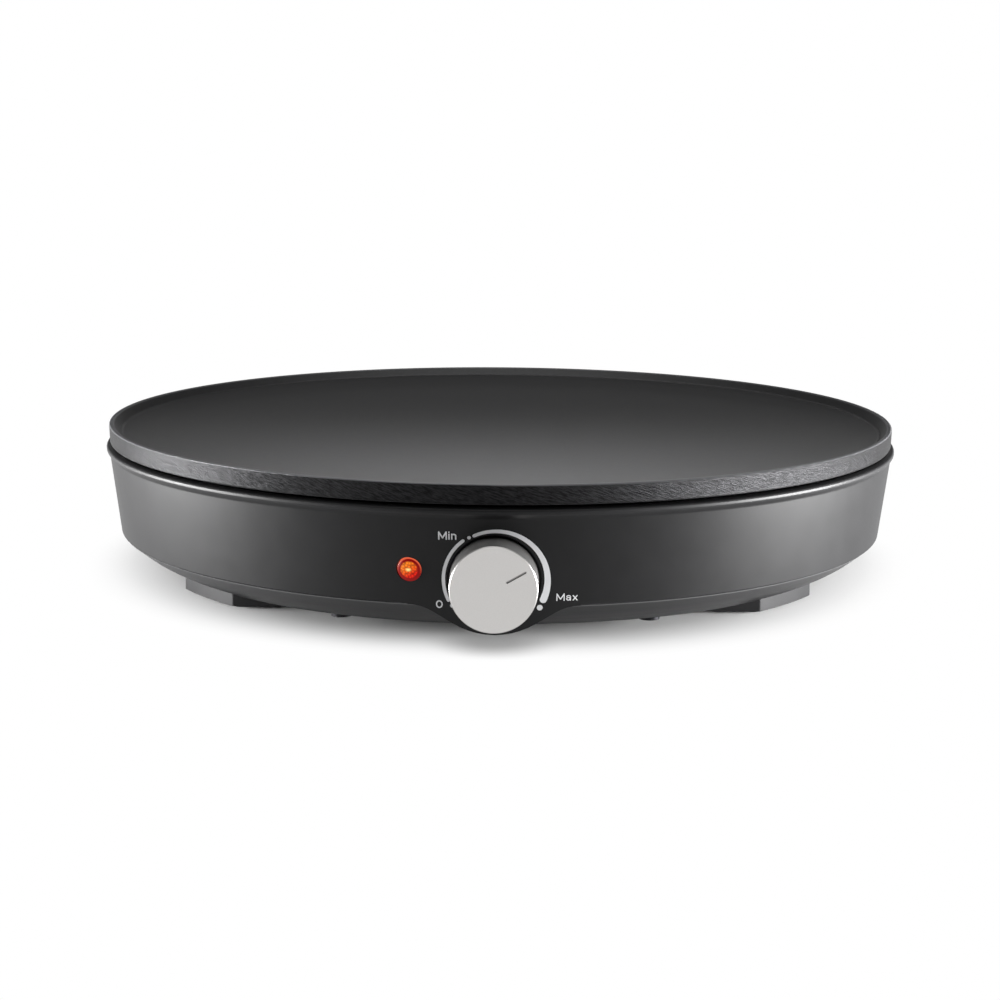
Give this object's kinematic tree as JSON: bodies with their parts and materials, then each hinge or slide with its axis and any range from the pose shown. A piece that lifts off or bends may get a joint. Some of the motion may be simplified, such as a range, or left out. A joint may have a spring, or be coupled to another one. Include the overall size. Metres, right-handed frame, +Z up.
{
  "type": "electric crepe maker",
  "caption": "Low round electric crepe maker: a rimmed cast griddle plate on a tapered casing, with a turning temperature knob, a pilot lamp and feet.",
  "frame": {"origin": "on the worktop, at the middle of the bounding box; the griddle plate's axis is 4.85 mm behind it", "axes": "+Z up; -Y to the front, where the knob is; +X to the right seen from the front"},
  "size_m": [0.3022, 0.3118, 0.055],
  "materials": {
    "plate_coating": "matte non-stick coating on cast aluminium",
    "casing_plastic": "satin moulded, anthracite with a fine metallic fleck",
    "pan_plastic": "satin moulded, anthracite",
    "foot_plastic": "satin moulded, anthracite",
    "pad_rubber": "moulded rubber",
    "knob_silver": "satin metallised",
    "knob_core": "moulded black",
    "spring_steel": "plain strip",
    "element_steel": "annealed, heat tinted",
    "shield_steel": "aluminised sheet",
    "screw_steel": "zinc plated",
    "post_steel": "drawn tube",
    "ceramic_white": "unglazed steatite",
    "brass_plain": "turned",
    "copper_tube": "drawn copper",
    "switch_resin": "moulded phenolic",
    "lens_red": "clear red, prismatic",
    "holder_plastic": "moulded white",
    "neon_glass": "clear",
    "gland_plastic": "moulded black",
    "fuse_sleeve": "woven glass sleeve",
    "wire_brown": "insulated lead",
    "wire_blue": "insulated lead",
    "wire_green": "insulated lead",
    "wire_white": "silicone insulated lead"
  },
  "bodies": {
    "base": {"griddle_plate": "plate_coating", "casing": "casing_plastic", "base_pan": "pan_plastic", "heating_element": "element_steel", "element_terminals": "screw_steel", "element_clips": "spring_steel", "sensor_clip": "spring_steel", "fuse_clip": "spring_steel", "clip_screws": "screw_steel", "heat_shield": "shield_steel", "support_posts": "post_steel", "post_insulators": "ceramic_white", "plate_screws": "screw_steel", "base_screws": "screw_steel", "foot_screws": "screw_steel", "thermostat_body": "switch_resin", "thermostat_bracket": "shield_steel", "thermostat_screws": "screw_steel", "thermostat_terminals": "brass_plain", "thermostat_sensor": "copper_tube", "lamp_lens": "lens_red", "lamp_holder": "holder_plastic", "neon_lamp": "neon_glass", "terminal_block": "ceramic_white", "terminal_inserts": "brass_plain", "terminal_screws": "screw_steel", "block_screws": "screw_steel", "cable_gland": "gland_plastic", "thermal_fuse": "fuse_sleeve", "earth_tag": "brass_plain", "earth_screw": "screw_steel", "lead_live": "wire_brown", "lead_neutral": "wire_blue", "lead_earth": "wire_green", "lead_switched": "wire_white", "lead_fused": "wire_white", "lamp_leads": "wire_white", "foot_front_left": "foot_plastic", "pad_front_left": "pad_rubber", "foot_front_right": "foot_plastic", "pad_front_right": "pad_rubber", "foot_rear_left": "foot_plastic", "pad_rear_left": "pad_rubber", "foot_rear_right": "foot_plastic", "pad_rear_right": "pad_rubber"},
    "knob": {"knob_cap": "knob_silver", "knob_insert": "knob_core", "knob_clip": "spring_steel", "thermostat_spindle": "screw_steel"}
  },
  "joints": [
    {"name": "knob_turn", "type": "hinge", "parent": "base", "child": "knob", "pos_m": [0, -0.132, 0.023], "axis": [0, 1, 0], "range_deg": [-181.4, 64.4]}
  ]
}
